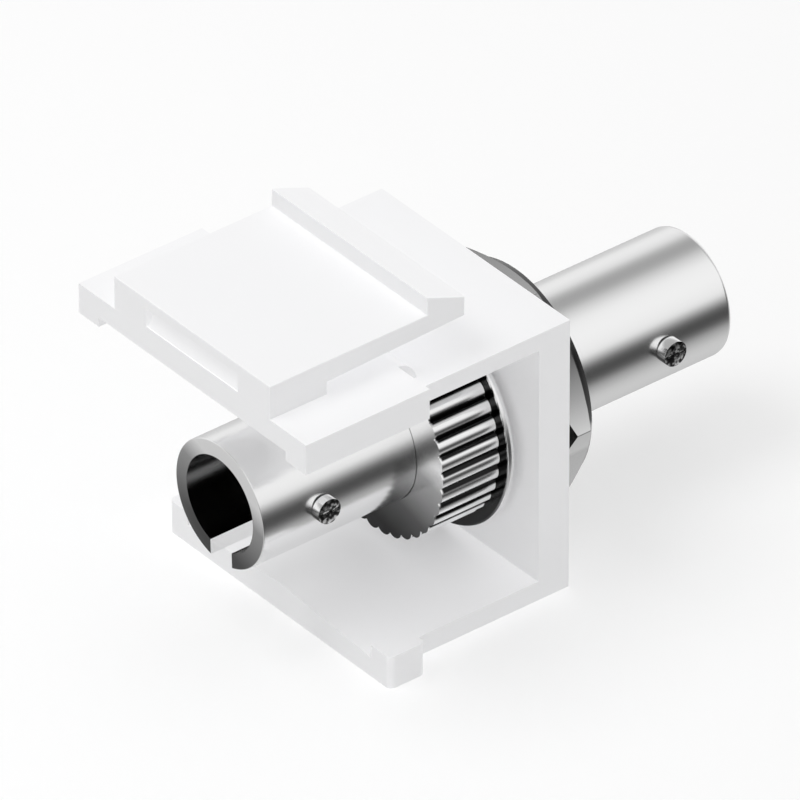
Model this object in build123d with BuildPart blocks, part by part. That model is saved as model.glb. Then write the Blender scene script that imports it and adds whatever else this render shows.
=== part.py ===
from build123d import *
import os
from math import tan, radians, cos, sin

# Fibre keystone jack: a white moulded keystone insert that carries a metal bayonet coupler.
# Frame of the part: X is the width, Y runs from the front bar to the rear, Z is up.
# The origin lies under the middle of the front bar, on the plane that the insert stands on.

# Sizes of the keystone insert, in millimetres
body_width = 14.84
body_height = 16.05
body_depth = 12.5
body_front = 5.4
wall_thickness = 2.5
floor_thickness = 1.68
roof_thickness = 1.55
side_draft = 4.3
roof_overlap = 0.4
roof_front = 8.0
roof_corner = 0.9
edge_round = 0.15

# Sizes of the front bar with its two rails
bar_width = 18.0
bar_depth = 7.75
bar_rise = 1.1
bar_thickness = 1.2
rail_width = 1.6
rail_drop = 0.55
web_front = 6.6
ramp_length = 1.15
ramp_radius = 1.375

# Sizes of the nubs on the front corners of the floor
nub_height = 1.9
nub_inset = 0.12
nub_reach = 1.4
nub_length = 2.25
nub_round = 0.35

# Sizes of the press-down latch
latch_width = 12.32
root_rise = 1.95
root_depth = 3.6
arm_root_thickness = 1.25
arm_tip_thickness = 1.0
arm_length = 6.27
catch_height = 1.12
catch_length = 2.4
catch_fall = 0.95
catch_round = 0.2
scoop_width = 7.25
scoop_inset = 0.53
scoop_height = 1.13
scoop_depth = 0.55
scoop_end_slope = 0.35

# Sizes of the coupler's turned pieces
axis_height = body_height / 2
coupler_front = 1.7
barrel_radius = 3.5
barrel_wall = 0.65
rim_chamfer = 0.15
front_barrel_reach = 9.65
collar_length = 3.6
collar_root_radius = 5.25
lobe_radius = 0.55
lobe_centre_radius = 5.05
lobe_count = 36
washer_radius = 6.3
washer_thickness = 0.4
thread_radius = 4.7625
hole_clearance = 0.12
turned_clearance = 0.03
rear_barrel_reach = 13.7
rear_rim_round = 0.5

# Sizes of the key slot and the bayonet lugs; the coupler is turned a little in its hole
coupler_turn = 1.8
key_slot_width = 1.7
key_slot_length = 5.5
lug_radius = 0.7
lug_reach = 4.25
front_lug_inset = 3.6
rear_lug_inset = 4.3
lug_chamfer = 0.12

# Sizes of the hex nut
nut_across_flats = 12.7
nut_thickness = 2.15
nut_turn = 5.2
nut_face_radius = 6.2
nut_chamfer_angle = 30
nut_corner_margin = 0.5

# Sizes of the alignment sleeve and its holder
sleeve_length = 11.4
sleeve_bore_radius = 1.25
sleeve_radius = 1.6
sleeve_slit = 0.4
sleeve_clearance = 0.05
holder_radius = 2.3
holder_lip = 0.6
holder_lip_radius = 1.4
holder_mouth_radius = 1.9
holder_flange_thickness = 1.5
holder_setback = 1.3

# How far a cut runs past the face that it opens
overcut = 1.0

# Places worked out from the sizes
half_body = body_width / 2
half_bar = bar_width / 2
half_latch = latch_width / 2
body_back = body_front + body_depth
channel_back = body_back - wall_thickness
roof_under = body_height - roof_thickness
bar_top = body_height + bar_rise
bar_under = bar_top - bar_thickness
latch_top = bar_top + root_rise
scoop_top = latch_top - scoop_inset
arm_back = root_depth + arm_length
catch_back = arm_back + catch_length
barrel_bore_radius = barrel_radius - barrel_wall
collar_front = coupler_front + front_barrel_reach
collar_back = collar_front + collar_length
washer_back = collar_back + washer_thickness
nut_back = body_back + nut_thickness
shank_back = nut_back
holder_split = washer_back + holder_setback
front_barrel_back = holder_split - holder_flange_thickness
rear_barrel_front = holder_split + holder_flange_thickness
collar_bore_radius = barrel_radius + turned_clearance
coupler_back = body_back + rear_barrel_reach
channel_side = half_body + overcut
nub_outer = half_body + nub_reach

axis_plane = Plane.XY.offset(axis_height)
coupler_axis = Axis((0, 0, axis_height), (0, 1, 0))
os.makedirs("parts", exist_ok=True)


def cross_section(y):
    """The plane square to the coupler's axis at a depth y, with its normal to the rear."""
    return Plane(origin=(0, y, axis_height), x_dir=(1, 0, 0), z_dir=(0, 1, 0))


def lug_plane(y, turn):
    """The plane through the coupler's axis at depth y whose normal points along a lug."""
    angle = radians(turn)
    return Plane(origin=(0, y, axis_height), x_dir=(0, 1, 0), z_dir=(cos(angle), 0, sin(angle)))


# The keystone frame: floor, rear wall and roof make a channel, and the bar carries the latch root
with BuildPart() as keystone_frame:
    with BuildSketch(Plane.XY):
        with Locations((0, body_front)):
            Rectangle(body_width, body_depth, align=(Align.CENTER, Align.MIN))
    extrude(amount=body_height - roof_thickness - roof_overlap)
    with BuildSketch(Plane.XY.offset(roof_under - roof_overlap)) as roof_plan:
        with Locations((0, roof_front)):
            Rectangle(body_width, body_back - roof_front, align=(Align.CENTER, Align.MIN))
        fillet(roof_plan.vertices().group_by(Axis.Y)[0], radius=roof_corner)
    extrude(amount=roof_thickness + roof_overlap)

    # The channel is open at both sides and its faces draw apart towards them
    for side in (1, -1):
        with BuildSketch(Plane(origin=(0, 0, 0), x_dir=(0, 1, 0), z_dir=(side, 0, 0))):
            with BuildLine():
                low = floor_thickness * side
                high = roof_under * side
                Polyline((0, low), (channel_back, low), (channel_back, high), (0, high), close=True)
            make_face()
        extrude(amount=channel_side, taper=-side_draft, mode=Mode.SUBTRACT)

    # The front bar with its rails, and the web that steps down from it to the roof
    with BuildSketch(Plane.XY.offset(bar_under)):
        Rectangle(bar_width, bar_depth, align=(Align.CENTER, Align.MIN))
    extrude(amount=bar_thickness)
    with BuildSketch(Plane.XY.offset(bar_under - rail_drop)):
        for side in (1, -1):
            with Locations((side * (half_bar - rail_width / 2), 0)):
                Rectangle(rail_width, bar_depth, align=(Align.CENTER, Align.MIN))
    extrude(amount=rail_drop)
    with BuildSketch(Plane.YZ):
        with BuildLine():
            ramp_top = (bar_depth, bar_top)
            ramp_foot = (bar_depth + ramp_length, body_height)
            Polyline((web_front, bar_under), (bar_depth - ramp_length, bar_top), ramp_top)
            RadiusArc(ramp_top, ramp_foot, ramp_radius)
            Polyline(ramp_foot, (bar_depth + ramp_length, roof_under), (roof_front, roof_under),
                     (web_front, bar_under))
        make_face()
    extrude(amount=half_body - roof_corner, both=True)

    # The root of the latch, with the scoop in its front face
    with BuildSketch(Plane.XY.offset(bar_top)):
        Rectangle(latch_width, root_depth, align=(Align.CENTER, Align.MIN))
    extrude(amount=latch_top - bar_top)
    with BuildSketch(Plane.XZ.offset(0)):
        with Locations((0, scoop_top - scoop_height / 2)):
            Rectangle(scoop_width, scoop_height)
    with BuildSketch(Plane.XZ.offset(-scoop_depth)):
        with Locations((0, scoop_top - scoop_end_slope / 2)):
            Rectangle(scoop_width - 2 * scoop_end_slope, scoop_end_slope)
    loft(mode=Mode.SUBTRACT)

    # The nubs at the front corners of the floor
    for side in (1, -1):
        with BuildSketch(Plane.XY) as nub_plan:
            with Locations((side * (nub_outer - (nub_reach + nub_inset) / 2), body_front)):
                Rectangle(nub_reach + nub_inset, nub_length, align=(Align.CENTER, Align.MIN))
            outer = nub_plan.vertices().sort_by(Axis.X)
            fillet(outer[-2:] if side > 0 else outer[:2], radius=nub_round)
        extrude(amount=nub_height)

    # The hole for the coupler's threaded shank
    with BuildSketch(cross_section(channel_back - overcut)):
        Circle(thread_radius + hole_clearance)
    extrude(amount=wall_thickness + 2 * overcut, mode=Mode.SUBTRACT)

    # Soft edges where the moulding shows them
    top_rim = keystone_frame.faces().filter_by(Axis.Z).group_by(Axis.Z)[-1].edges()
    fillet(top_rim.filter_by(Axis.X).group_by(Axis.Y)[0], radius=edge_round)
keystone_frame.part.label = "keystone_frame"

# The latch arm: a sprung tongue behind the root, with the catch across its rear end
with BuildPart() as latch_arm:
    with BuildSketch(Plane.YZ):
        with BuildLine():
            Polyline((root_depth, latch_top - arm_root_thickness), (root_depth, latch_top),
                     (arm_back, latch_top), (arm_back, latch_top + catch_height),
                     (catch_back, latch_top + catch_height - catch_fall),
                     (catch_back, latch_top - arm_tip_thickness), close=True)
        make_face()
    extrude(amount=half_latch, both=True)
    catch_edges = latch_arm.edges().filter_by(Axis.X)
    fillet(catch_edges.group_by(Axis.Z)[-1], radius=catch_round)
    fillet(latch_arm.edges().filter_by(Axis.X).group_by(Axis.Y)[-1], radius=catch_round)
latch_arm.part.label = "latch_arm"

# The fluted collar with the threaded shank that the nut runs on; both barrels are pressed into it
with BuildPart() as fluted_collar:
    with BuildSketch(axis_plane):
        with BuildLine():
            Polyline((collar_bore_radius, collar_front), (collar_root_radius, collar_front),
                     (collar_root_radius, collar_back), (thread_radius, collar_back),
                     (thread_radius, shank_back - rim_chamfer),
                     (thread_radius - rim_chamfer, shank_back),
                     (collar_bore_radius, shank_back), close=True)
        make_face()
    revolve(axis=coupler_axis)
    with BuildSketch(cross_section(collar_front)):
        Circle(collar_root_radius)
        with PolarLocations(lobe_centre_radius, lobe_count):
            Circle(lobe_radius)
        Circle(collar_bore_radius, mode=Mode.SUBTRACT)
    extrude(amount=collar_length)
fluted_collar.part.label = "fluted_collar"

# The front barrel takes the plug's bayonet nut; its rear end holds the sleeve holder's flange
with BuildPart() as front_barrel:
    with BuildSketch(axis_plane):
        with BuildLine():
            rim = barrel_radius - rim_chamfer
            Polyline((barrel_bore_radius, coupler_front), (rim, coupler_front),
                     (barrel_radius, coupler_front + rim_chamfer), (barrel_radius, front_barrel_back),
                     (barrel_bore_radius, front_barrel_back), close=True)
        make_face()
    revolve(axis=coupler_axis)
    key_plane = lug_plane(coupler_front, coupler_turn - 90)
    with BuildSketch(key_plane):
        with Locations((key_slot_length / 2 - key_slot_width / 4, 0)):
            SlotOverall(key_slot_length + key_slot_width, key_slot_width)
    extrude(amount=barrel_radius + overcut, mode=Mode.SUBTRACT)
    for turn in (coupler_turn, coupler_turn + 180):
        with BuildSketch(lug_plane(coupler_front + front_lug_inset, turn)):
            Circle(lug_radius + turned_clearance)
        extrude(amount=barrel_radius + overcut, mode=Mode.SUBTRACT)
front_barrel.part.label = "front_barrel"

# The rear barrel has the same key slot and lugs as the front one
with BuildPart() as rear_barrel:
    with BuildSketch(axis_plane):
        with BuildLine():
            rear_round_start = coupler_back - rear_rim_round
            Line((barrel_bore_radius, rear_barrel_front), (barrel_radius, rear_barrel_front))
            Line((barrel_radius, rear_barrel_front), (barrel_radius, rear_round_start))
            RadiusArc((barrel_radius, rear_round_start),
                      (barrel_radius - rear_rim_round, coupler_back), -rear_rim_round)
            Line((barrel_radius - rear_rim_round, coupler_back), (barrel_bore_radius, coupler_back))
            Line((barrel_bore_radius, coupler_back), (barrel_bore_radius, rear_barrel_front))
        make_face()
    revolve(axis=coupler_axis)
    with BuildSketch(lug_plane(coupler_back, coupler_turn - 90)):
        with Locations((key_slot_width / 4 - key_slot_length / 2, 0)):
            SlotOverall(key_slot_length + key_slot_width, key_slot_width)
    extrude(amount=barrel_radius + overcut, mode=Mode.SUBTRACT)
    for turn in (coupler_turn, coupler_turn + 180):
        with BuildSketch(lug_plane(coupler_back - rear_lug_inset, turn)):
            Circle(lug_radius + turned_clearance)
        extrude(amount=barrel_radius + overcut, mode=Mode.SUBTRACT)
rear_barrel.part.label = "rear_barrel"

# The bayonet lugs: round studs pressed into the barrel walls, their heads turned with the barrel
lug_places = {
    "lug_front_right": (coupler_front + front_lug_inset, coupler_turn),
    "lug_front_left": (coupler_front + front_lug_inset, coupler_turn + 180),
    "lug_rear_right": (coupler_back - rear_lug_inset, coupler_turn),
    "lug_rear_left": (coupler_back - rear_lug_inset, coupler_turn + 180),
}
for lug_name, (lug_y, lug_turn) in lug_places.items():
    with BuildPart() as lug:
        with BuildSketch(lug_plane(lug_y, lug_turn)):
            Circle(lug_radius)
        extrude(amount=lug_reach + overcut)
        with BuildSketch(cross_section(lug_y - overcut)):
            Circle(lug_reach)
            Circle(barrel_bore_radius, mode=Mode.SUBTRACT)
        extrude(amount=2 * overcut, mode=Mode.INTERSECT)
        head = lug.faces().sort_by_distance((0, lug_y, axis_height))[-1]
        chamfer(head.edges(), length=lug_chamfer)
    lug.part.label = lug_name
    export_step(lug.part, f"parts/{lug_name}.step")

# The thin washer between the fluted collar and the wall
with BuildPart() as flat_washer:
    with BuildSketch(cross_section(collar_back)):
        Circle(washer_radius)
        Circle(thread_radius + turned_clearance, mode=Mode.SUBTRACT)
    extrude(amount=washer_thickness)
flat_washer.part.label = "flat_washer"

# The hex nut behind the wall, chamfered on both faces
with BuildPart() as hex_nut:
    with BuildSketch(cross_section(body_back)):
        RegularPolygon(nut_across_flats / 2, 6, major_radius=False, rotation=-nut_turn)
    extrude(amount=nut_thickness)
    nut_corner_radius = nut_across_flats / 2 / cos(radians(30)) + nut_corner_margin
    nut_slope = (nut_corner_radius - nut_face_radius) * tan(radians(nut_chamfer_angle))
    with BuildSketch(axis_plane):
        with BuildLine():
            Polyline((0, body_back), (nut_face_radius, body_back),
                     (nut_corner_radius, body_back + nut_slope),
                     (nut_corner_radius, nut_back - nut_slope),
                     (nut_face_radius, nut_back), (0, nut_back), close=True)
        make_face()
    revolve(axis=coupler_axis, mode=Mode.INTERSECT)
    with BuildSketch(cross_section(body_back)):
        Circle(thread_radius + turned_clearance)
    extrude(amount=nut_thickness, mode=Mode.SUBTRACT)
hex_nut.part.label = "hex_nut"

# The two halves of the sleeve holder meet in the shank, each with a funnelled lip that
# keeps the sleeve in
with BuildPart() as front_sleeve_holder:
    with BuildSketch(axis_plane):
        with BuildLine():
            bore = sleeve_radius + sleeve_clearance
            sleeve_end = holder_split - sleeve_length / 2 - sleeve_clearance
            lip_end = sleeve_end - holder_lip
            Polyline((holder_mouth_radius, lip_end), (holder_radius, lip_end),
                     (holder_radius, front_barrel_back), (barrel_radius, front_barrel_back),
                     (barrel_radius, holder_split), (bore, holder_split), (bore, sleeve_end),
                     (holder_lip_radius, sleeve_end), close=True)
        make_face()
    revolve(axis=coupler_axis)
front_sleeve_holder.part.label = "front_sleeve_holder"

with BuildPart() as rear_sleeve_holder:
    mirror(front_sleeve_holder.part, about=Plane(origin=(0, holder_split, 0), z_dir=(0, 1, 0)))
rear_sleeve_holder.part.label = "rear_sleeve_holder"

# The split sleeve that lines up the two ferrules
with BuildPart() as split_sleeve:
    with BuildSketch(cross_section(holder_split - sleeve_length / 2)):
        Circle(sleeve_radius)
        Circle(sleeve_bore_radius, mode=Mode.SUBTRACT)
        Rectangle(sleeve_radius * 2, sleeve_slit, align=(Align.MIN, Align.CENTER), mode=Mode.SUBTRACT)
    extrude(amount=sleeve_length)
split_sleeve.part.label = "split_sleeve"

export_step(keystone_frame.part, "parts/keystone_frame.step")
export_step(latch_arm.part, "parts/latch_arm.step")
export_step(fluted_collar.part, "parts/fluted_collar.step")
export_step(front_barrel.part, "parts/front_barrel.step")
export_step(rear_barrel.part, "parts/rear_barrel.step")
export_step(flat_washer.part, "parts/flat_washer.step")
export_step(hex_nut.part, "parts/hex_nut.step")
export_step(front_sleeve_holder.part, "parts/front_sleeve_holder.step")
export_step(rear_sleeve_holder.part, "parts/rear_sleeve_holder.step")
export_step(split_sleeve.part, "parts/split_sleeve.step")
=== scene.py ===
import bpy
import math
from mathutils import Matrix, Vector


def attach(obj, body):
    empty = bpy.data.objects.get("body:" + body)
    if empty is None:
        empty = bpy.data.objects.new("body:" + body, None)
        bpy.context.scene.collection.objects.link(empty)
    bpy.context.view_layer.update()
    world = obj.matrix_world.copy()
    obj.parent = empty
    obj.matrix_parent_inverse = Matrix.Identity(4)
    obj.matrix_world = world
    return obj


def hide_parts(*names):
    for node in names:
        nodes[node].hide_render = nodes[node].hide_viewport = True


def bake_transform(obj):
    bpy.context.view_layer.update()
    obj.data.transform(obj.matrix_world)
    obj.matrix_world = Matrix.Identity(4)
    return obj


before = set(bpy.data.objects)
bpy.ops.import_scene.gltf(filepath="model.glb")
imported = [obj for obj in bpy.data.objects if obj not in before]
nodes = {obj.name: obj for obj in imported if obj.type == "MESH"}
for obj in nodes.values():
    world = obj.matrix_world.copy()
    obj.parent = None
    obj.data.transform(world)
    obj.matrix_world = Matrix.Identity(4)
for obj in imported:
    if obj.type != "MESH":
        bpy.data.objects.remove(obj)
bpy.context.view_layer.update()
mm = 0.001
near = 0.05      # in mm: a point this close to a place counts as there
print("frame loaded with", len(nodes), "pieces")

# what the coupler's pieces share
coupler = {
    "axisHeight": 8.025,
    "turn": 1.8,                   # degrees: the coupler sits a little turned in its hole
}


# helpers for modelling; places and sizes are in mm

def clearSelection():
    if bpy.context.object and bpy.context.object.mode != "OBJECT":
        bpy.ops.object.mode_set(mode="OBJECT")
    bpy.ops.object.select_all(action="DESELECT")


def makeActive(piece):
    clearSelection()
    bpy.context.view_layer.objects.active = piece
    piece.select_set(True)


def editNone(mode):
    # edit mode starts with nothing selected, then the selection is made in object mode
    bpy.ops.object.mode_set(mode="EDIT")
    bpy.ops.mesh.select_mode(type=mode)
    bpy.ops.mesh.select_all(action="DESELECT")
    bpy.ops.object.mode_set(mode="OBJECT")


def pickFaces(piece, test):
    # the test gets a face's centre and normal
    editNone("FACE")
    for face in piece.data.polygons:
        face.select = bool(test(face.center / mm, face.normal))
    bpy.ops.object.mode_set(mode="EDIT")


def pickPoints(piece, test):
    editNone("VERT")
    for point in piece.data.vertices:
        point.select = bool(test(point.co / mm))
    bpy.ops.object.mode_set(mode="EDIT")


def pickAll():
    bpy.ops.object.mode_set(mode="EDIT")
    bpy.ops.mesh.select_all(action="SELECT")


def move(x, y, z):
    bpy.ops.transform.translate(value=(x * mm, y * mm, z * mm))


def pull(x, y, z):
    bpy.ops.mesh.extrude_region_move(TRANSFORM_OT_translate={"value": (x * mm, y * mm, z * mm)})


def turnRound(degrees):
    # round the coupler's axis
    bpy.ops.transform.rotate(value=math.radians(degrees), orient_axis="Y",
                             center_override=(0, 0, coupler["axisHeight"] * mm))


def cutAcross(place, direction, keepAll=True, fill=False):
    bpy.ops.mesh.bisect(plane_co=[p * mm for p in place], plane_no=direction, use_fill=fill,
                        clear_outer=not keepAll, threshold=0.01 * near * mm)


def reachOf(point):
    # distance from the coupler's axis
    return math.hypot(point.x, point.z - coupler["axisHeight"])


def markSoftEdges(piece, sharpness, test):
    # edges sharper than the angle get the bevel weight that the test gives for their two ends
    bpy.ops.object.mode_set(mode="OBJECT")
    mesh = piece.data
    facesOfEdge = {}
    for face in mesh.polygons:
        for key in face.edge_keys:
            facesOfEdge.setdefault(key, []).append(face.normal)
    weights = mesh.attributes.new("bevel_weight_edge", "FLOAT", "EDGE")
    for edge in mesh.edges:
        normals = facesOfEdge.get(edge.key, [])
        if len(normals) == 2 and normals[0].angle(normals[1], 0) >= math.radians(sharpness):
            ends = [mesh.vertices[i].co / mm for i in edge.vertices]
            weights.data[edge.index].value = float(test(*ends))


def roundEdges(piece, width, segments=3, smooth=35):
    makeActive(piece)
    bevel = piece.modifiers.new("softEdges", "BEVEL")
    bevel.limit_method = "WEIGHT"
    bevel.width = width * mm
    bevel.segments = segments
    bevel.loop_slide = False
    bpy.ops.object.modifier_apply(modifier=bevel.name)
    bpy.ops.object.shade_smooth_by_angle(angle=math.radians(smooth))
    # flat faces stay flat in the light beside their rounded edges
    even = piece.modifiers.new("evenFaces", "WEIGHTED_NORMAL")
    even.keep_sharp = True
    even.weight = 80
    bpy.ops.object.modifier_apply(modifier=even.name)
    piece.select_set(False)


def mergedCopy(nodeName, newName):
    clearSelection()
    twin = nodes[nodeName].copy()
    twin.data = nodes[nodeName].data.copy()
    twin.name = newName
    bpy.context.collection.objects.link(twin)
    makeActive(twin)
    bpy.ops.mesh.customdata_custom_splitnormals_clear()
    pickAll()
    bpy.ops.mesh.remove_doubles(threshold=0.0015 * mm)
    bpy.ops.mesh.dissolve_limited(angle_limit=math.radians(0.6))
    bpy.ops.object.mode_set(mode="OBJECT")
    return twin


def dress(piece, material, nodeName):
    piece.data.materials.clear()
    piece.data.materials.append(material)
    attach(piece, "jack")
    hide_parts(nodeName)


# helpers for materials

def newMaterial(name, roughness, metallic=0.0):
    material = bpy.data.materials.new(name)
    material.use_nodes = True
    shader = material.node_tree.nodes["Principled BSDF"]
    shader.inputs["Roughness"].default_value = roughness
    shader.inputs["Metallic"].default_value = metallic
    return material, material.node_tree, shader


def objectPlaces(tree):
    # Object coordinates, whole and as X, Y and Z
    whole = tree.nodes.new("ShaderNodeTexCoord").outputs["Object"]
    split = tree.nodes.new("ShaderNodeSeparateXYZ")
    tree.links.new(whole, split.inputs["Vector"])
    return whole, split.outputs


def facingParts(tree):
    # which way the surface looks, as X, Y and Z
    surface = tree.nodes.new("ShaderNodeNewGeometry")
    split = tree.nodes.new("ShaderNodeSeparateXYZ")
    tree.links.new(surface.outputs["Normal"], split.inputs["Vector"])
    return split.outputs


def mathNode(tree, operation, first, second=None):
    node = tree.nodes.new("ShaderNodeMath")
    node.operation = operation
    for socket, value in zip(node.inputs, (first, second)):
        if isinstance(value, (int, float)):
            socket.default_value = value
        elif value is not None:
            tree.links.new(value, socket)
    return node.outputs[0]


def times(tree, first, second):
    return mathNode(tree, "MULTIPLY", first, second)


def spread(tree, value, ends, start=0.0, stop=1.0, unit=1.0):
    # start at the first end and stop at the second, even between them
    node = tree.nodes.new("ShaderNodeMapRange")
    node.inputs["From Min"].default_value = ends[0] * unit
    node.inputs["From Max"].default_value = ends[1] * unit
    node.inputs["To Min"].default_value = start
    node.inputs["To Max"].default_value = stop
    tree.links.new(value, node.inputs["Value"])
    return node.outputs["Result"]


def greyRamp(tree, value, tones, unit=1.0, interpolation="LINEAR"):
    # grey levels along a value, given as (place, level)
    low, high = tones[0][0], tones[-1][0]
    ramp = tree.nodes.new("ShaderNodeValToRGB")
    ramp.color_ramp.interpolation = interpolation
    elements = ramp.color_ramp.elements
    elements.remove(elements[-1])
    for index, (place, level) in enumerate(tones):
        position = (place - low) / (high - low)
        element = elements[0] if index == 0 else elements.new(position)
        element.position = position
        element.color = (level, level, level, 1)
    tree.links.new(spread(tree, value, (low, high), unit=unit), ramp.inputs["Fac"])
    return ramp.outputs["Color"]


def mixColours(tree, factor, first, second):
    node = tree.nodes.new("ShaderNodeMix")
    node.data_type = "RGBA"
    tree.links.new(factor, node.inputs[0])
    for socket, value in zip((node.inputs[6], node.inputs[7]), (first, second)):
        if isinstance(value, tuple):
            socket.default_value = value + (1,)
        else:
            tree.links.new(value, socket)
    return node.outputs[2]


def noiseOn(tree, places, size, detail=2.0):
    node = tree.nodes.new("ShaderNodeTexNoise")
    node.inputs["Scale"].default_value = 1 / (size * mm)
    node.inputs["Detail"].default_value = detail
    tree.links.new(places, node.inputs["Vector"])
    return node.outputs["Fac"]


def speckledColour(tree, shader, places, colour, change, size):
    ramp = tree.nodes.new("ShaderNodeValToRGB")
    darker, lighter = ramp.color_ramp.elements
    darker.color = tuple(c * (1 - change) for c in colour) + (1,)
    lighter.color = tuple(min(1, c * (1 + change)) for c in colour) + (1,)
    tree.links.new(noiseOn(tree, places, size, 3.0), ramp.inputs["Fac"])
    tree.links.new(ramp.outputs["Color"], shader.inputs["Base Color"])


def addBump(tree, shader, height, strength):
    bump = tree.nodes.new("ShaderNodeBump")
    bump.inputs["Strength"].default_value = strength
    bump.inputs["Distance"].default_value = 0.01 * mm
    tree.links.new(height, bump.inputs["Height"])
    tree.links.new(bump.outputs["Normal"], shader.inputs["Normal"])


# the white moulded plastic

plastic = {
    "colour": (0.9, 0.9, 0.908),
    "roughness": 0.42,
    "speckle": 0.006,
    "speckleSize": 2.5,
    "grainSize": 0.2857,
    "grainDepth": 0.06,
}


def makeWhitePlastic():
    material, tree, shader = newMaterial("whiteMouldedPlastic", plastic["roughness"])
    places, _ = objectPlaces(tree)
    speckledColour(tree, shader, places, plastic["colour"], plastic["speckle"], plastic["speckleSize"])
    addBump(tree, shader, noiseOn(tree, places, plastic["grainSize"]), plastic["grainDepth"])
    return material


# the satin nickel of the collar, the barrels and the washer

satin = {
    "colour": (0.92, 0.92, 0.92),
    # painted shade and painted dark reflection: the flutes, the washer's front round the collar, the lugs'
    # roots and the nut's bevels
    "paintedShadeAndReflection": (0.02, 0.02, 0.02),
    "roughness": 0.2,
    "ringSize": 0.05,              # width of the turning marks
    "ringDepth": 0.05,
    # painted shade and highlight on the ends that look to the front, by height over the axis
    "endShadeTones": ((-4.6, 0.02), (-2.3, 0.1), (-0.5, 0.3), (0.8, 0.42), (2.2, 1.0)),
    "endShadeTilt": 0.3,               # the painted highlight also grows to the right
    "looksFront": (-0.8, -0.95),
    # each pair is where a painted shade begins to show and where it is full
    "fluteShadeDepth": (5.55, 5.51),
    "fluteShadeFront": (11.4, 11.5),
    "fluteShadeRear": (14.98, 14.96),
    "pastCore": (4.9, 5.0),
    # painted shade on the washer's front round the collar
    "washerFront": 14.95,
    "washerShadeNear": (0.03, 0.01),
    "washerShadeRing": (6.2, 6.15),
    # painted shade inside the bore
    "boreShadeColour": (0.16, 0.16, 0.16),
    "bore": (2.66, 2.65),
}


def makeNickel():
    material, tree, shader = newMaterial("satinNickel", satin["roughness"], 1.0)
    _, (across, along, height) = objectPlaces(tree)
    lift = mathNode(tree, "SUBTRACT", height, coupler["axisHeight"] * mm)
    reach = mathNode(tree, "SQRT", mathNode(tree, "ADD", times(tree, across, across), times(tree, lift, lift)))

    # painted shade and highlight on the ends that look to the front: darker low on the left, lighter high on
    # the right
    shadeSlope = mathNode(tree, "ADD", times(tree, across, satin["endShadeTilt"]), lift)
    shadedEndMask = spread(tree, facingParts(tree)["Y"], satin["looksFront"])
    colour = mixColours(tree, shadedEndMask, satin["colour"], greyRamp(tree, shadeSlope, satin["endShadeTones"], mm))

    # painted shade: the flutes are dark at the bottom, and so is the washer's front round the collar
    pastCore = spread(tree, reach, satin["pastCore"], unit=mm)
    inFluteShade = times(tree, spread(tree, reach, satin["fluteShadeDepth"], unit=mm), pastCore)
    alongFluteShade = times(tree, spread(tree, along, satin["fluteShadeFront"], unit=mm),
                       spread(tree, along, satin["fluteShadeRear"], unit=mm))
    colour = mixColours(tree, times(tree, inFluteShade, alongFluteShade), colour, satin["paintedShadeAndReflection"])
    # painted shade on the washer's front, in the ring round the collar
    fromWasher = mathNode(tree, "ABSOLUTE", mathNode(tree, "SUBTRACT", along, satin["washerFront"] * mm))
    ringShadeMask = times(tree, pastCore, spread(tree, reach, satin["washerShadeRing"], unit=mm))
    washerShadeMask = times(tree, spread(tree, fromWasher, satin["washerShadeNear"], unit=mm), ringShadeMask)
    colour = mixColours(tree, washerShadeMask, colour, satin["paintedShadeAndReflection"])

    # painted shade inside the bore
    inBoreShade = spread(tree, reach, satin["bore"], unit=mm)
    colour = mixColours(tree, inBoreShade, colour, satin["boreShadeColour"])
    tree.links.new(colour, shader.inputs["Base Color"])

    # fine turning marks run round the axis, on the barrels and on the faced ends
    rings = tree.nodes.new("ShaderNodeTexNoise")
    rings.noise_dimensions = "1D"
    rings.inputs["Scale"].default_value = 1 / (satin["ringSize"] * mm)
    tree.links.new(mathNode(tree, "ADD", along, reach), rings.inputs["W"])
    addBump(tree, shader, rings.outputs["Fac"], satin["ringDepth"])
    return material


# the same nickel on the lugs, with their sawn ends

lugFinish = {
    "sideLightAndShadeTones": ((0.42, 0.03), (0.62, 1.0)),    # painted highlight and shade by how far the side looks up, from 0 to 1
    "grainSize": 0.25,
    "grainTones": ((0.45, 0.03), (0.65, 0.9)),
    "looksOut": (0.6, 0.8),
    "root": (3.55, 3.48),          # painted shade: the corner at the barrel is dark
}


def makeLugNickel():
    material, tree, shader = newMaterial("lugNickel", satin["roughness"], 1.0)
    places, (across, _, _) = objectPlaces(tree)
    facing = facingParts(tree)
    # the round side has a painted highlight above and painted shade below, the cut end is mottled, and the
    # corner at the barrel has painted shade
    side = greyRamp(tree, spread(tree, facing["Z"], (-1, 1)), lugFinish["sideLightAndShadeTones"])
    mottle = greyRamp(tree, noiseOn(tree, places, lugFinish["grainSize"], 1.0), lugFinish["grainTones"])
    atEnd = spread(tree, mathNode(tree, "ABSOLUTE", facing["X"]), lugFinish["looksOut"])
    # painted shade in the corner at the barrel
    rootShadeMask = spread(tree, mathNode(tree, "ABSOLUTE", across), lugFinish["root"], unit=mm)
    colour = mixColours(tree, rootShadeMask, mixColours(tree, atEnd, side, mottle), satin["paintedShadeAndReflection"])
    tree.links.new(colour, shader.inputs["Base Color"])
    return material


# and on the nut, with a painted reflection in steps where its flats would mirror the bench

nutFinish = {
    # painted reflection tones by height over the axis
    "tones": ((-7.0, 0.7), (-1.0, 0.62), (-0.6, 0.75), (0.5, 0.7), (2.2, 0.36), (4.2, 0.05),
              (5.4, 0.06), (5.9, 0.25), (6.6, 0.4)),
    # painted dark reflection on the bevels: at the front low down, at the rear high up
    "frontBevel": (-0.25, -0.35),
    "frontPaintedDarkBelow": (4, 3),
    "rearBevel": (0.25, 0.35),
    "rearPaintedDarkAbove": (-0.2, 0.2),
}


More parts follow.
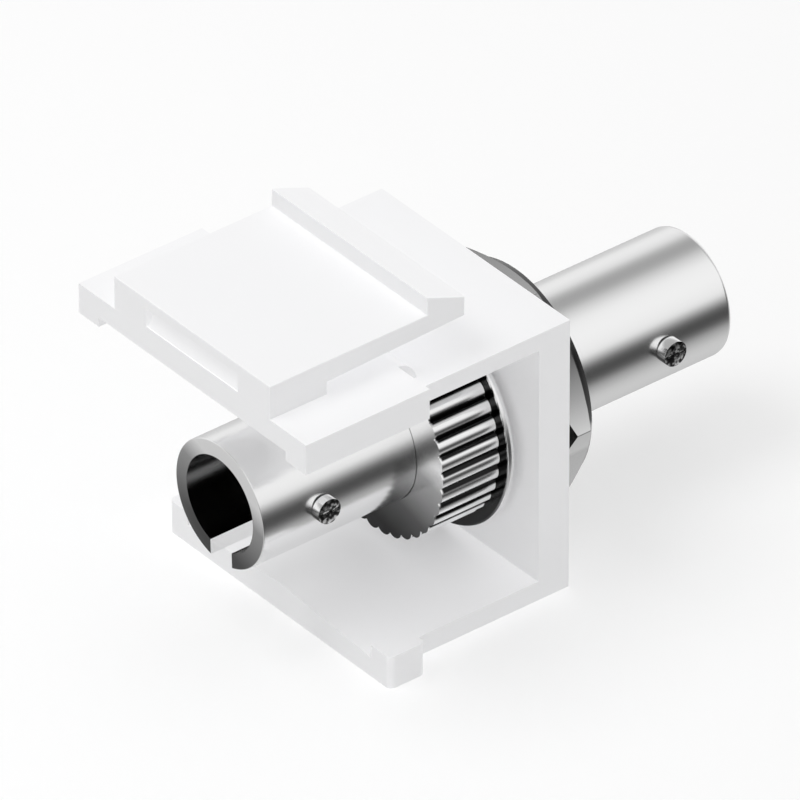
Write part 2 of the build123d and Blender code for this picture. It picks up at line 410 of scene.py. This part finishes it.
def makeNutNickel():
    material, tree, shader = newMaterial("nutNickel", satin["roughness"], 1.0)
    _, (_, _, height) = objectPlaces(tree)
    lift = mathNode(tree, "SUBTRACT", height, coupler["axisHeight"] * mm)
    lookBack = facingParts(tree)["Y"]
    # painted dark reflection on the front bevel low down and on the rear bevel high up, over the painted
    # reflection tones
    front = times(tree, spread(tree, lookBack, nutFinish["frontBevel"]),
                  spread(tree, lift, nutFinish["frontPaintedDarkBelow"], unit=mm))
    rear = times(tree, spread(tree, lookBack, nutFinish["rearBevel"]),
                 spread(tree, lift, nutFinish["rearPaintedDarkAbove"], unit=mm))
    colour = mixColours(tree, mathNode(tree, "MAXIMUM", front, rear),
                        greyRamp(tree, lift, nutFinish["tones"], mm), satin["paintedShadeAndReflection"])
    tree.links.new(colour, shader.inputs["Base Color"])
    return material


# the hidden pieces inside the coupler: colour, roughness and metallic

inside = {
    "holder": ((0.25, 0.25, 0.26), 0.45, 1.0),
    "sleeve": ((0.82, 0.8, 0.76), 0.2, 0.0),
    "speckle": 0.03,
    "speckleSize": 1.111,
}


def makeInsideFinish(name, colour, roughness, metallic):
    material, tree, shader = newMaterial(name, roughness, metallic)
    places, _ = objectPlaces(tree)
    speckledColour(tree, shader, places, colour, inside["speckle"], inside["speckleSize"])
    return material


whitePlastic = makeWhitePlastic()
nickel = makeNickel()
lugNickel = makeLugNickel()
nutNickel = makeNutNickel()
holderMetal = makeInsideFinish("dullHolderMetal", *inside["holder"])
ceramic = makeInsideFinish("sleeveCeramic", *inside["sleeve"])

finishOfNode = {
    "keystone_frame": whitePlastic,
    "latch_arm": whitePlastic,
    "front_sleeve_holder": holderMetal,
    "rear_sleeve_holder": holderMetal,
    "split_sleeve": ceramic,
}
for name, node in nodes.items():
    node.data.materials.clear()
    node.data.materials.append(finishOfNode.get(name, nickel))
print("finishes made")


# the moulded body, with its edges softened

body = {
    "barTop": 17.15,
    "halfLatch": 6.16,
    "rootDepth": 3.6,
    "wallFront": 15.0,
    "holeRadius": 4.95,
    "edgeRound": 0.13,
    "sharpness": 20,
}


def makeMouldedBody():
    shell = mergedCopy("keystone_frame", "mouldedBody")
    # the latch's root is taken off here, because the latch below is one piece with it
    pickAll()
    cutAcross((0, 0, body["barTop"] + 0.001), (0, 0, 1), keepAll=False, fill=True)

    def isSoft(first, second):
        ends = (first, second)
        inHole = all(reachOf(p) < body["holeRadius"] and p.y > body["wallFront"] for p in ends)
        underRoot = all(p.z > body["barTop"] - near and abs(p.x) < body["halfLatch"] + near
                        and p.y < body["rootDepth"] + near for p in ends)
        return not inHole and not underRoot

    markSoftEdges(shell, body["sharpness"], isSoft)
    roundEdges(shell, body["edgeRound"])
    dress(shell, whitePlastic, "keystone_frame")


makeMouldedBody()
print("moulded body made")


# the latch: root, arm and catch in one piece

latch = {
    "halfWidth": 6.16,
    "rootDepth": 3.6,
    "rootBottom": 17.15,
    "top": 19.1,
    "armBottom": 17.85,
    "armBack": 9.87,
    "tipBottom": 18.1,
    "catchHeight": 1.03,
    "catchBack": 12.27,
    "catchFall": 0.95,
    "edgeRound": 0.13,
    "catchRound": 0.26,
    "sharpness": 20,
    "scoopHalfWidth": 3.625,
    "scoopTop": 18.57,
    "scoopBottom": 17.44,
    "scoopDepth": 0.32,
    "scoopLip": 0.2,               # share of the depth that is left at the bottom
    "scoopMiddle": 0.75,           # and at the arm's underside
    "scoopEndSlope": 0.2,
    "scoopRound": 0.05,
    "bendFrom": 3.2,
    "bendTo": 4.6,
    "bendSteps": 8,
}


def makeArm():
    clearSelection()
    height = latch["top"] - latch["rootBottom"]
    bpy.ops.mesh.primitive_cube_add(
        size=1, location=(0, latch["rootDepth"] / 2 * mm, (latch["rootBottom"] + height / 2) * mm),
        scale=(2 * latch["halfWidth"] * mm, latch["rootDepth"] * mm, height * mm))
    arm = bpy.context.object
    arm.name = "latch"
    bpy.ops.object.transform_apply(location=True, rotation=True, scale=True)
    # the arm grows out of the upper part of the root's rear face
    pickAll()
    cutAcross((0, 0, latch["armBottom"]), (0, 0, 1))
    pickFaces(arm, lambda c, n: n.y > 0.9 and c.z > latch["armBottom"])
    pull(0, latch["armBack"] - latch["rootDepth"], 0)
    pull(0, latch["catchBack"] - latch["armBack"], 0)
    # the catch rises from the arm's end and falls to the rear
    pickFaces(arm, lambda c, n: n.z > 0.9 and c.y > latch["armBack"])
    pull(0, 0, latch["catchHeight"])
    pickPoints(arm, lambda p: p.z > latch["top"] + near and p.y > latch["catchBack"] - near)
    move(0, 0, -latch["catchFall"])
    # the underside climbs a little towards the tip
    climb = latch["tipBottom"] - latch["armBottom"]
    share = (latch["armBack"] - latch["rootDepth"]) / (latch["catchBack"] - latch["rootDepth"])
    for place, rise in ((latch["armBack"], climb * share), (latch["catchBack"], climb)):
        pickPoints(arm, lambda p: p.z < latch["armBottom"] + near and abs(p.y - place) < near)
        move(0, 0, rise)
    return arm


def cutScoop(arm):
    edge, depth = latch["scoopHalfWidth"], latch["scoopDepth"]
    bottom, top = latch["scoopBottom"], latch["scoopTop"]
    for place, direction in (((edge, 0, 0), (1, 0, 0)), ((-edge, 0, 0), (1, 0, 0)),
                             ((0, 0, top), (0, 0, 1)), ((0, 0, bottom), (0, 0, 1))):
        pickFaces(arm, lambda c, n: n.y < -0.9 and c.y < near)
        cutAcross(place, direction)
    pickFaces(arm, lambda c, n: n.y < -0.9 and c.y < near and abs(c.x) < edge and bottom < c.z < top)
    pull(0, depth, 0)
    # its floor runs out to the front at the bottom
    for level, share in ((bottom, latch["scoopLip"]), (latch["armBottom"], latch["scoopMiddle"]), (top, 1.0)):
        for side in (-1, 1):
            pickPoints(arm, lambda p: abs(p.y - depth) < near and abs(p.z - level) < near
                       and abs(p.x - side * edge) < near)
            move(-side * share * latch["scoopEndSlope"], -(1 - share) * depth, 0)
    pickAll()
    bpy.ops.mesh.remove_doubles(threshold=0.002 * mm)
    bpy.ops.mesh.select_all(action="SELECT")
    bpy.ops.mesh.normals_make_consistent(inside=False)


def cutForBend():
    # cuts across the arm behind the root, in even steps
    length = latch["bendTo"] - latch["bendFrom"]
    for step in range(latch["bendSteps"] + 1):
        bpy.ops.mesh.select_all(action="SELECT")
        cutAcross((0, latch["bendFrom"] + length * step / latch["bendSteps"], 0), (0, 1, 0))


def latchSoftness(first, second):
    ends = (first, second)
    if all(p.z < latch["rootBottom"] + near for p in ends):
        return 0.0
    if all(p.y < latch["scoopDepth"] + near and abs(p.x) < latch["scoopHalfWidth"] + near
           and latch["scoopBottom"] - near < p.z < latch["scoopTop"] + near for p in ends):
        return latch["scoopRound"] / latch["catchRound"]
    # the catch's upright corners are rounder than the rest
    atCatchEnd = all(abs(p.x) > latch["halfWidth"] - near and p.y > latch["armBack"] - near for p in ends)
    upright = abs(first.z - second.z) > 2 * abs(first.y - second.y)
    return 1.0 if atCatchEnd and upright else latch["edgeRound"] / latch["catchRound"]


def makeLatch():
    arm = makeArm()
    cutScoop(arm)
    cutForBend()
    markSoftEdges(arm, latch["sharpness"], latchSoftness)
    roundEdges(arm, latch["catchRound"])
    # the front face stays flat
    makeActive(arm)
    pickPoints(arm, lambda p: p.y < 0)
    bpy.ops.transform.resize(value=(1, 0, 1), center_override=(0, 0, 0))
    bpy.ops.object.mode_set(mode="OBJECT")
    arm.data.materials.clear()
    arm.data.materials.append(whitePlastic)
    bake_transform(arm)
    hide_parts("latch_arm")


makeLatch()
print("latch made")


# the two barrels, with thick rims and key slots

barrel = {
    "radius": 3.5,
    "boreRadius": 2.64,
    "sides": 128,
    "sharpness": 35,
    "slotWidth": 1.7,
    "slotLength": 5.5,
    "slotReach": (2.0, 6.0),       # the cutter's ends, below the axis
    "slotSides": 48,
    # where the inner end and the open end lie, and how round the rim is
    "front": (15.15, 1.7, 0.06),
    "rear": (18.15, 31.6, 0.45),
}


def makeTube(name, start, end):
    clearSelection()
    bpy.ops.mesh.primitive_cylinder_add(
        vertices=barrel["sides"], radius=barrel["radius"] * mm, depth=(end - start) * mm,
        location=(0, (start + end) / 2 * mm, coupler["axisHeight"] * mm),
        rotation=(math.radians(90), 0, 0))
    tube = bpy.context.object
    tube.name = name
    bpy.ops.object.transform_apply(location=True, rotation=True, scale=True)
    # both ends are inset to the bore, and the bore joins them
    pickFaces(tube, lambda c, n: abs(n.y) > 0.9)
    bpy.ops.mesh.inset(thickness=(barrel["radius"] - barrel["boreRadius"]) * mm, use_individual=True)
    bpy.ops.mesh.delete(type="ONLY_FACE")
    pickPoints(tube, lambda p: reachOf(p) < barrel["boreRadius"] + near)
    bpy.ops.mesh.select_mode(type="EDGE")
    bpy.ops.mesh.bridge_edge_loops()
    bpy.ops.mesh.select_all(action="SELECT")
    bpy.ops.mesh.normals_make_consistent(inside=False)
    bpy.ops.object.mode_set(mode="OBJECT")
    return tube


def makeSlotCutter(openEnd, inward):
    # a long block with a round inner end, turned like the coupler
    clearSelection()
    upper, lower = barrel["slotReach"]
    length = barrel["slotLength"] - barrel["slotWidth"] / 2
    middle = openEnd + inward * length
    bpy.ops.mesh.primitive_cylinder_add(
        vertices=barrel["slotSides"], radius=barrel["slotWidth"] / 2 * mm, depth=(lower - upper) * mm,
        location=(0, middle * mm, (coupler["axisHeight"] - (upper + lower) / 2) * mm))
    cutter = bpy.context.object
    bpy.ops.object.transform_apply(location=True, rotation=True, scale=True)
    pickPoints(cutter, lambda p: (p.y - middle) * inward < -near)
    move(0, -inward * (length + 1), 0)
    bpy.ops.mesh.select_all(action="SELECT")
    turnRound(coupler["turn"])
    bpy.ops.object.mode_set(mode="OBJECT")
    return cutter


def makeBarrel(name, nodeName, innerEnd, openEnd, rimRound):
    tube = makeTube(name, min(innerEnd, openEnd), max(innerEnd, openEnd))
    cutter = makeSlotCutter(openEnd, 1 if innerEnd > openEnd else -1)
    makeActive(tube)
    cut = tube.modifiers.new("keySlot", "BOOLEAN")
    cut.operation = "DIFFERENCE"
    cut.solver = "EXACT"
    cut.object = cutter
    bpy.ops.object.modifier_apply(modifier=cut.name)
    bpy.data.objects.remove(cutter)

    def isOuterRim(first, second):
        return all(abs(p.y - openEnd) < near and reachOf(p) > barrel["radius"] - near
                   for p in (first, second))

    markSoftEdges(tube, barrel["sharpness"], isOuterRim)
    roundEdges(tube, rimRound, smooth=32)
    dress(tube, nickel, nodeName)


makeBarrel("frontBarrel", "front_barrel", *barrel["front"])
makeBarrel("rearBarrel", "rear_barrel", *barrel["rear"])
print("barrels made")


# the bayonet lugs, each with a saw mark across its end

lug = {
    "radius": 0.7,
    "sides": 48,
    "innerReach": 3.3,             # both reaches count from the coupler's axis
    "outerReach": 4.15,
    "edgeRound": 0.09,
    "sharpness": 50,
    "markHalfWidth": 0.07,
    "markDepth": 0.1,
    # place along the barrel, side in degrees, and how much less it stands out
    "places": {
        "lug_front_right": (5.42, 0, 0.1),
        "lug_front_left": (5.42, 180, 0.1),
        "lug_rear_right": (27.4, 0, 0),
        "lug_rear_left": (27.4, 180, 0),
    },
}


def modelLug():
    # one lug, on the right of the axis at the front of the frame; the others are copies of it
    clearSelection()
    axisHeight, half = coupler["axisHeight"], lug["markHalfWidth"]
    length = lug["outerReach"] - lug["innerReach"]
    bpy.ops.mesh.primitive_cylinder_add(
        vertices=lug["sides"], radius=lug["radius"] * mm, depth=length * mm,
        location=((lug["innerReach"] + length / 2) * mm, 0, axisHeight * mm),
        rotation=(0, math.radians(90), 0))
    stud = bpy.context.object
    bpy.ops.object.transform_apply(location=True, rotation=True, scale=True)
    for offset in (-half, half):
        pickFaces(stud, lambda c, n: n.x > 0.9)
        cutAcross((0, 0, axisHeight + offset), (0, 0, 1))
    pickFaces(stud, lambda c, n: n.x > 0.9 and abs(c.z - axisHeight) < half)
    pull(-lug["markDepth"], 0, 0)
    middle = (lug["innerReach"] + lug["outerReach"]) / 2
    markSoftEdges(stud, lug["sharpness"], lambda first, second: min(first.x, second.x) > middle)
    roundEdges(stud, lug["edgeRound"], segments=2, smooth=40)
    return stud


def placeLug(stud, nodeName, along, side, lower):
    piece = stud.copy()
    piece.data = stud.data.copy()
    piece.name = nodeName.replace("lug_", "bayonetLug_")
    bpy.context.collection.objects.link(piece)
    makeActive(piece)
    pickPoints(piece, lambda p: True)
    move(-lower, along, 0)
    turnRound(coupler["turn"] + side)
    bpy.ops.object.mode_set(mode="OBJECT")
    dress(piece, lugNickel, nodeName)


firstLug = modelLug()
for nodeName, sizes in lug["places"].items():
    placeLug(firstLug, nodeName, *sizes)
bpy.data.objects.remove(firstLug)
print("lugs made")


# the nut, with a bevel that stands a little behind its flats

hexNut = {
    "back": 20.05,
    "bevelDepth": 0.46,
    "bevelShrink": 0.972,
    "edgeRound": 0.05,
    "sharpness": 24,
}


def breakEdges(piece, width, sharpness):
    markSoftEdges(piece, sharpness, lambda first, second: True)
    roundEdges(piece, width, segments=2, smooth=28)


def makeNut():
    nut = mergedCopy("hex_nut", "hexNut")
    pickFaces(nut, lambda c, n: n.y > 0.9 and c.y > hexNut["back"] - near)
    pull(0, hexNut["bevelDepth"], 0)
    bpy.ops.transform.resize(value=(hexNut["bevelShrink"], 1, hexNut["bevelShrink"]),
                             center_override=(0, hexNut["back"] * mm, coupler["axisHeight"] * mm))
    breakEdges(nut, hexNut["edgeRound"], hexNut["sharpness"])
    dress(nut, nutNickel, "hex_nut")


# the washer between the collar and the wall

flatWasher = {
    "edgeRound": 0.11,
    "sharpness": 60,
}


def makeWasher():
    washer = mergedCopy("flat_washer", "flatWasher")
    breakEdges(washer, flatWasher["edgeRound"], flatWasher["sharpness"])
    dress(washer, nickel, "flat_washer")
    # its front, with painted shade round the collar, isn't mirrored in the ends of the flutes
    washer.visible_glossy = False


makeNut()
makeWasher()
print("nut and washer made")


# the world: what lights the part, what the metal mirrors, and the backdrop

world = {
    "lightLow": 0.52,
    "lightHigh": 0.7,
    "backdrop": 0.985,
    # what the metal mirrors, by the angle round the coupler's axis: 0 is right, 90 is up
    "mirrorBands": ((-180, 0.75), (-140, 0.5), (-105, 0.62), (-70, 0.66), (-45, 0.35), (-32, 0.06),
                    (-8, 0.04), (4, 0.5), (14, 0.95), (70, 0.98), (92, 0.6), (105, 0.36), (125, 0.36),
                    (140, 0.85), (165, 0.95), (180, 0.75)),
}


def makeWorld():
    studio = bpy.data.worlds.new("softStudio")
    bpy.context.scene.world = studio
    studio.use_nodes = True
    tree = studio.node_tree
    tree.nodes.clear()
    coords = tree.nodes.new("ShaderNodeTexCoord")
    split = tree.nodes.new("ShaderNodeSeparateXYZ")
    tree.links.new(coords.outputs["Generated"], split.inputs["Vector"])
    # even light that grows a little towards the top
    evenLight = tree.nodes.new("ShaderNodeBackground")
    tree.links.new(spread(tree, split.outputs["Z"], (0, 1), world["lightLow"], world["lightHigh"]),
                   evenLight.inputs["Strength"])
    # bands that only the gloss sees
    angle = mathNode(tree, "ARCTAN2", split.outputs["Z"], split.outputs["X"])
    bands = tree.nodes.new("ShaderNodeBackground")
    tree.links.new(greyRamp(tree, angle, world["mirrorBands"], math.pi / 180, "B_SPLINE"),
                   bands.inputs["Color"])
    backdrop = tree.nodes.new("ShaderNodeBackground")
    backdrop.inputs["Strength"].default_value = world["backdrop"]
    rays = tree.nodes.new("ShaderNodeLightPath")
    seen = evenLight.outputs[0]
    for ray, light in (("Is Glossy Ray", bands), ("Is Camera Ray", backdrop)):
        pick = tree.nodes.new("ShaderNodeMixShader")
        tree.links.new(rays.outputs[ray], pick.inputs[0])
        tree.links.new(seen, pick.inputs[1])
        tree.links.new(light.outputs[0], pick.inputs[2])
        seen = pick.outputs[0]
    output = tree.nodes.new("ShaderNodeOutputWorld")
    tree.links.new(seen, output.inputs["Surface"])


# the floor

floorCard = {
    "size": 6.0,
    "colour": (0.9, 0.9, 0.9),
    "glow": 0.07,                  # only the camera sees it
}


def makeFloor():
    clearSelection()
    bpy.ops.mesh.primitive_plane_add(size=floorCard["size"], location=(0, 0, 0))
    floor = bpy.context.object
    floor.name = "studioFloor"
    material = bpy.data.materials.new("floorWhite")
    material.use_nodes = True
    tree = material.node_tree
    tree.nodes.clear()
    paint = tree.nodes.new("ShaderNodeBsdfDiffuse")
    paint.inputs["Color"].default_value = floorCard["colour"] + (1,)
    glow = tree.nodes.new("ShaderNodeEmission")
    glow.inputs["Strength"].default_value = floorCard["glow"]
    glowing = tree.nodes.new("ShaderNodeAddShader")
    rays = tree.nodes.new("ShaderNodeLightPath")
    pick = tree.nodes.new("ShaderNodeMixShader")
    output = tree.nodes.new("ShaderNodeOutputMaterial")
    tree.links.new(paint.outputs[0], glowing.inputs[0])
    tree.links.new(glow.outputs[0], glowing.inputs[1])
    tree.links.new(rays.outputs["Is Camera Ray"], pick.inputs[0])
    tree.links.new(paint.outputs[0], pick.inputs[1])
    tree.links.new(glowing.outputs[0], pick.inputs[2])
    tree.links.new(pick.outputs[0], output.inputs["Surface"])
    floor.data.materials.append(material)
    floor.visible_glossy = False


# the lamps

lamps = {
    # the tent's cards: where each one stands and how strong it is
    "cards": (("topCard", (0, 0, 1), 1.15), ("rightCard", (1, 0, 0), 0.46), ("frontCard", (0, -1, 0), 0.42),
              ("rearCard", (0, 1, 0), 0.45), ("leftCard", (-1, 0, 0), 0.46)),
    "keyPower": 0.08,
    "keySize": 120,
    "keyPlace": (-50, -80, 200),
    "keyAim": (0, 14, 8),
}


def newLamp(name, kind, strength, direction):
    data = bpy.data.lights.new(name, kind)
    data.energy = strength
    lamp = bpy.data.objects.new(name, data)
    bpy.context.collection.objects.link(lamp)
    lamp.rotation_euler = direction.to_track_quat("Z", "Y").to_euler()
    lamp.visible_glossy = False
    return lamp


def makeLamps():
    place = Vector(lamps["keyPlace"])
    key = newLamp("keyLight", "AREA", lamps["keyPower"], place - Vector(lamps["keyAim"]))
    key.location = place * mm
    key.data.shape = "DISK"
    key.data.size = lamps["keySize"] * mm
    # wide cards of soft light round the part, without shadows of their own
    for name, direction, strength in lamps["cards"]:
        card = newLamp(name, "SUN", strength, Vector(direction))
        card.data.use_shadow = False


# the camera, fitted to the photo

view = {
    "azimuth": 51.27,
    "elevation": 34.7,
    "distance": 1030.0,
    "pixelsPerMm": 20.14,
    "target": (0.0, 14.0, 8.0),    # the point that the photo shows at targetPixel
    "targetPixel": (414.1, 415.6),
    "frameSize": 800,
    "sensorWidth": 36,
    "clip": (0.01, 20),
}


def makeCamera():
    azimuth = math.radians(view["azimuth"])
    elevation = math.radians(view["elevation"])
    back = Vector((math.sin(azimuth) * math.cos(elevation), -math.cos(azimuth) * math.cos(elevation),
                   math.sin(elevation)))
    right = Vector((math.cos(azimuth), math.sin(azimuth), 0))
    up = back.cross(right)
    half = view["frameSize"] / 2
    aside = (view["targetPixel"][0] - half) / view["pixelsPerMm"]
    above = (half - view["targetPixel"][1]) / view["pixelsPerMm"]
    centre = Vector(view["target"]) - right * aside - up * above
    data = bpy.data.cameras.new("photoCamera")
    data.sensor_width = view["sensorWidth"]
    data.lens = view["pixelsPerMm"] * view["distance"] * data.sensor_width / view["frameSize"]
    data.clip_start, data.clip_end = view["clip"]
    camera = bpy.data.objects.new("photoCamera", data)
    bpy.context.collection.objects.link(camera)
    camera.location = (centre + back * view["distance"]) * mm
    camera.rotation_mode = "QUATERNION"
    camera.rotation_quaternion = (-back).to_track_quat("-Z", "Y")
    bpy.context.scene.camera = camera


makeWorld()
makeFloor()
makeLamps()
makeCamera()
bpy.context.scene.view_settings.view_transform = "Standard"
print("studio made")
